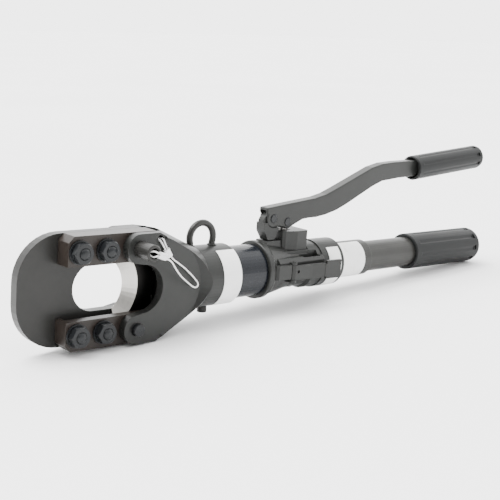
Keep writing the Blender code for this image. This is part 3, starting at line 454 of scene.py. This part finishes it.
def shaded_ram_front(add, link, position):
    """1 on the front of the ram, which holds the blade deep in the fork's mouth and is darkened there as
    painted shade, and 0 on its chromed rod.
    """
    separate = add("SeparateXYZ")
    link(position, separate.inputs["Vector"])
    front = add("Math", operation="LESS_THAN")
    front.inputs[1].default_value = place(SHADED_RAM_END_X, 0, 0).x
    link(separate.outputs["X"], front.inputs[0])
    return front.outputs["Value"]


# Finishes, by the record's material slots

FINISHES = {
    "dark_casting": coated_metal(
        "finish_casting", (0.0165, 0.0172, 0.016, 1), 0.38, mottle=0.1, edge_wear_and_highlight=0.2
    ),
    "black_oxide": coated_metal(
        "finish_black_oxide", (0.0165, 0.0162, 0.015, 1), 0.36, mottle=0.12, edge_wear_and_highlight=0.22
    ),
    "guide_steel": coated_metal(
        "finish_guide_steel", (0.021, 0.0165, 0.0138, 1), 0.35, mottle=0.16, streaks=0.6, edge_wear_and_highlight=0.25
    ),
    "fastener_steel": coated_metal(
        "finish_fastener", (0.009, 0.01, 0.011, 1), 0.3, edge_radius=0.5, edge_wear_and_highlight=0.12
    ),
    "bright_steel": ground_steel("finish_bright_steel", (0.4, 0.39, 0.375, 1), 0.28, (1, 12, 12)),
    "blade_steel": ground_steel(
        "finish_blade", (0.5, 0.485, 0.455, 1), 0.3, (3, 14, 1), blued_and_shaded=flat_side, radius=0.2
    ),
    "navy_paint": coated_metal(
        "finish_navy", (0.0045, 0.0058, 0.0085, 1), 0.25, mottle=0.08, coat=0.08, grain=0.05, specular=0.2
    ),
    "tube_paint": coated_metal("finish_tube", (0.026, 0.0258, 0.0235, 1), 0.4, mottle=0.1, streaks=0.3),
    "grip_rubber": rubber("finish_grip", (0.0105, 0.0112, 0.0112, 1), 0.5),
    "seal_rubber": rubber("finish_seal", (0.02, 0.02, 0.02, 1), 0.5),
    "label_film": label_film("finish_label"),
    "wire_rope": wire_sheath("finish_wire"),
    "gland_bronze": ground_steel("finish_bronze", (0.68, 0.45, 0.2, 1), 0.35, (1, 12, 12)),
}
# The ram's chromed rod, with its front inside the fork's mouth darkened as painted shade.
RAM_WITH_PAINTED_SHADE = ground_steel("finish_ram_painted_shade", (0.4, 0.39, 0.375, 1), 0.28, (1, 12, 12), blued_and_shaded=shaded_ram_front)

lanyard_wire = make_lanyard()
lanyard_wire.data.materials.append(FINISHES["wire_rope"])

slot_of = {part["node"]: part["material_slot"] for part in frame["record"]["subparts"]}
for node_name, node in nodes.items():
    node.data.materials.clear()
    node.data.materials.append(RAM_WITH_PAINTED_SHADE if node_name == "ram" else FINISHES[slot_of[node_name]])


# Small pieces that the CAD leaves out


def metal_ring(name, points, radius, body, slot, gap=False):
    """A rippled bead of metal round the points, or an even open wire along them, on a body."""
    curve = bpy.data.curves.new(name, "CURVE")
    curve.dimensions = "3D"
    curve.bevel_depth = radius
    curve.bevel_resolution = 3
    curve.use_fill_caps = True
    line = curve.splines.new("POLY")
    line.points.add(len(points) - 1)
    line.use_cyclic_u = not gap
    for i, (spot, point) in enumerate(zip(line.points, points)):
        spot.co = (*place(*point), 1)
        spot.radius = 1.0 if gap else 1.0 + 0.12 * math.sin(2.4 * i)
    ring = bpy.data.objects.new(name, curve)
    bpy.context.scene.collection.objects.link(ring)
    curve.materials.append(FINISHES[slot])
    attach(ring, body)


def make_eye_welds():
    """A rippled weld where each foot of the lifting eye meets the cylinder's head."""
    low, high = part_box("lifting_eye")
    middle = ((low.x + high.x) / 2 - START_X) / MM
    for i, foot in enumerate((middle - EYE_FOOT, middle + EYE_FOOT), start=1):
        points = []
        for step in range(28):
            angle = 2 * math.pi * step / 28
            y = WELD_R * math.sin(angle)
            points.append((foot + WELD_R * math.cos(angle), y, math.sqrt(HEAD_R**2 - y**2) + WELD_RISE))
        metal_ring(f"eye_weld_{i}", points, WELD_BEAD_R * MM, "root", "black_oxide")


def make_circlip(name, node, body):
    """A snap ring on the near end of a pin, open on its right side."""
    low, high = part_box(node)
    x = ((low.x + high.x) / 2 - START_X) / MM
    z = ((low.z + high.z) / 2 - AXIS_Z) / MM
    radius = (high.x - low.x) / 2 / MM
    points = []
    for step in range(25):
        angle = math.radians(CLIP_START + CLIP_SWEEP * step / 24)
        points.append((x + radius * math.cos(angle), CLIP_Y, z + radius * math.sin(angle)))
    metal_ring(name, points, CLIP_WIRE_R * MM, body, "fastener_steel", gap=True)


def make_tower_shell():
    """The cast shell round the pump's tower: it widens towards the rear and is open over the plunger."""
    shape = bmesh.new()
    outline = [(x, -y) for x, y in TOWER_PLAN] + list(TOWER_PLAN[::-1])
    hole_x, hole_r = GLAND_HOLE
    circle = [2 * math.pi * i / 40 for i in range(40)]
    hole = [(hole_x + hole_r * math.cos(a), hole_r * math.sin(a)) for a in circle]
    rings = {}
    for height in TOWER_Z:
        for key, points in (("outer", outline), ("hole", hole)):
            ring = [shape.verts.new(place(x, y, height)) for x, y in points]
            rings[key, height] = ring
            for i, vert in enumerate(ring):
                shape.edges.new((vert, ring[(i + 1) % len(ring)]))
        loops = rings["outer", height] + rings["hole", height]
        edges = [edge for edge in shape.edges if all(vert in loops for vert in edge.verts)]
        bmesh.ops.triangle_fill(shape, use_beauty=True, edges=edges)
    for key in ("outer", "hole"):
        low, high = (rings[key, height] for height in TOWER_Z)
        for i in range(len(low)):
            j = (i + 1) % len(low)
            shape.faces.new((low[i], low[j], high[j], high[i]))
    bmesh.ops.recalc_face_normals(shape, faces=shape.faces)
    mesh = bpy.data.meshes.new("tower_shell")
    shape.to_mesh(mesh)
    shape.free()
    mesh.materials.append(FINISHES["dark_casting"])
    shell = bpy.data.objects.new("tower_shell", mesh)
    bpy.context.scene.collection.objects.link(shell)
    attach(shell, "root")


make_tower_shell()
make_eye_welds()
make_circlip("handle_pin_clip", "handle_pin", "link")
make_circlip("plunger_pin_clip", "plunger_pin", "handle")


# Floor and light


def make_floor():
    """A pale floor that touches the guide bar's rear corner and the underside of the fixed grip."""
    front = place(*FLOOR_FRONT)
    run = place(*FLOOR_REAR) - front
    slope = math.atan2(run.z, run.x)
    shape = bmesh.new()
    bmesh.ops.create_grid(shape, x_segments=1, y_segments=1, size=20.0)
    mesh = bpy.data.meshes.new("floor")
    shape.to_mesh(mesh)
    shape.free()
    floor = bpy.data.objects.new("floor", mesh)
    bpy.context.scene.collection.objects.link(floor)
    floor.location = front - Vector((0, 0, FLOOR_DROP * MM))
    floor.rotation_euler = (0, -slope, 0)
    material, surface, add, link = shader("floor_paper")
    speckle = add("TexNoise", Scale=60.0, Detail=3.0)
    base = colour_ramp(add, link, speckle.outputs["Fac"], [(0.3, grey(0.9)), (0.7, grey(0.93))])
    link(base, surface.inputs["Base Color"])
    surface.inputs["Roughness"].default_value = 0.9
    mesh.materials.append(material)


def make_light():
    """A white studio: a bright backdrop, a dimmer side behind the camera, and a soft light overhead."""
    world = bpy.data.worlds.new("studio")
    bpy.context.scene.world = world
    world.use_nodes = True
    tree = world.node_tree
    direction = tree.nodes.new("ShaderNodeTexCoord")
    towards = tree.nodes.new("ShaderNodeVectorMath")
    towards.operation = "DOT_PRODUCT"
    towards.inputs[1].default_value = BACKDROP
    strength = tree.nodes.new("ShaderNodeMapRange")
    strength.inputs["From Min"].default_value = -0.8
    strength.inputs["From Max"].default_value = 0.8
    strength.inputs["To Min"].default_value = DIM_SIDE
    strength.inputs["To Max"].default_value = BRIGHT_SIDE
    tree.links.new(direction.outputs["Generated"], towards.inputs[0])
    tree.links.new(towards.outputs["Value"], strength.inputs["Value"])
    tree.links.new(strength.outputs["Result"], tree.nodes["Background"].inputs["Strength"])
    tree.nodes["Background"].inputs["Color"].default_value = (1, 1, 1, 1)
    sun = bpy.data.lights.new("overhead", "SUN")
    sun.energy = OVERHEAD_STRENGTH
    sun.angle = OVERHEAD_SPREAD
    lamp = bpy.data.objects.new("overhead", sun)
    bpy.context.scene.collection.objects.link(lamp)
    lamp.rotation_euler = Vector(OVERHEAD).to_track_quat("Z", "Y").to_euler()


make_floor()
make_light()
